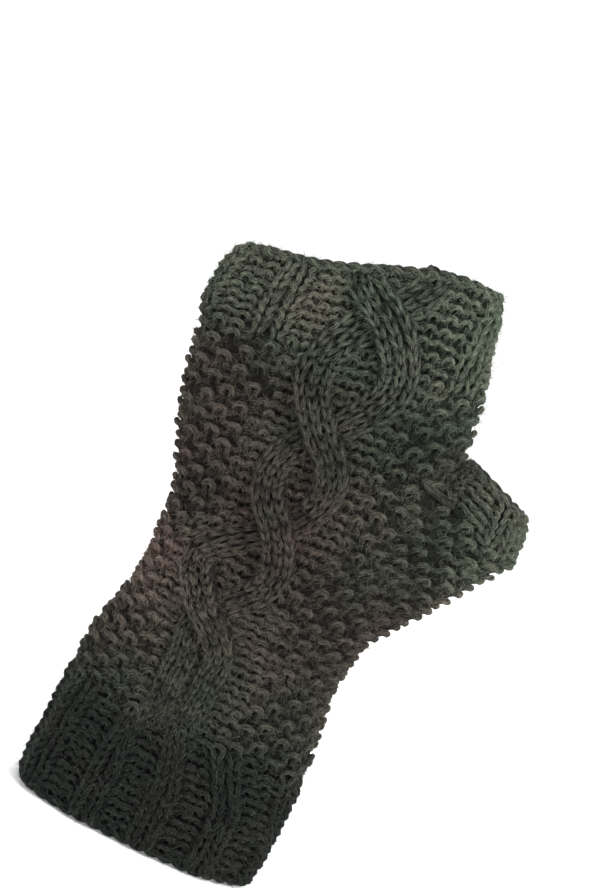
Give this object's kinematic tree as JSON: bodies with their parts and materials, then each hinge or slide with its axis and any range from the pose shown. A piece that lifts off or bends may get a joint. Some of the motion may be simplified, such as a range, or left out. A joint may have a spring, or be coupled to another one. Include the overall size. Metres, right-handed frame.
{
  "type": "fingerless glove",
  "caption": "Left-hand fingerless glove knitted in wool: ribbed cuff, seed-stitch hand with a cable up the back, ribbed finger band and short ribbed thumb.",
  "frame": {"origin": "middle of the cuff's opening, in the plane of the cast-on edge that the glove stands on", "axes": "+Z from the cuff to the fingers, -Y out of the back of the hand, +X towards the thumb"},
  "size_m": [0.1345, 0.0557, 0.222],
  "materials": {
    "wool_ribbing": "fuzzy worsted wool yarn in rib stitch, charcoal",
    "wool_seed_stitch": "fuzzy worsted wool yarn in seed stitch, charcoal green to brown",
    "wool_cable": "fuzzy worsted wool yarn in stocking stitch, crossed as a cable",
    "wool_edge": "fuzzy worsted wool yarn, chain edge",
    "wool_tail": "end of the same wool yarn"
  },
  "bodies": {
    "cuff": {"cast_on_edge": "wool_edge", "wrist_rib": "wool_ribbing", "forearm_panel": "wool_seed_stitch", "cable_stem": "wool_cable", "cast_on_yarn_tail": "wool_tail"},
    "hand": {"wrist_flex_band": "wool_seed_stitch", "wrist_cable_crossing": "wool_cable", "back_panel": "wool_seed_stitch", "palm_panel": "wool_seed_stitch", "hand_cable_strand_a": "wool_cable", "hand_cable_strand_b": "wool_cable", "thumb_crotch": "wool_seed_stitch"},
    "thumb": {"thumb_gusset": "wool_seed_stitch", "thumb_rib": "wool_ribbing", "thumb_bind_off": "wool_edge", "thumb_yarn_tail": "wool_tail"},
    "fingers": {"knuckle_flex_band": "wool_seed_stitch", "knuckle_cable_strands": "wool_cable", "finger_rib": "wool_ribbing", "finger_cable_crossing": "wool_cable", "finger_bind_off": "wool_edge", "finger_yarn_tail": "wool_tail"}
  },
  "joints": [
    {"name": "wrist_flex", "type": "hinge", "parent": "cuff", "child": "hand", "pos_m": [0.003, 0, 0.083], "axis": [1, 0, 0], "range_deg": [-30, 30], "stiffness_Nm_per_rad": 0.15, "deforming": ["wrist_flex_band", "wrist_cable_crossing"]},
    {"name": "knuckle_bend", "type": "hinge", "parent": "hand", "child": "fingers", "pos_m": [-0.0046, 0, 0.1705], "axis": [-0.9917, 0, -0.129], "range_deg": [-8, 30], "stiffness_Nm_per_rad": 0.08, "deforming": ["knuckle_flex_band", "knuckle_cable_strands"]},
    {"name": "thumb_swing", "type": "hinge", "parent": "hand", "child": "thumb", "pos_m": [0.046, 0, 0.13], "axis": [0, 0, 1], "range_deg": [-10, 40], "stiffness_Nm_per_rad": 0.03, "deforming": ["thumb_gusset", "thumb_crotch"]}
  ]
}
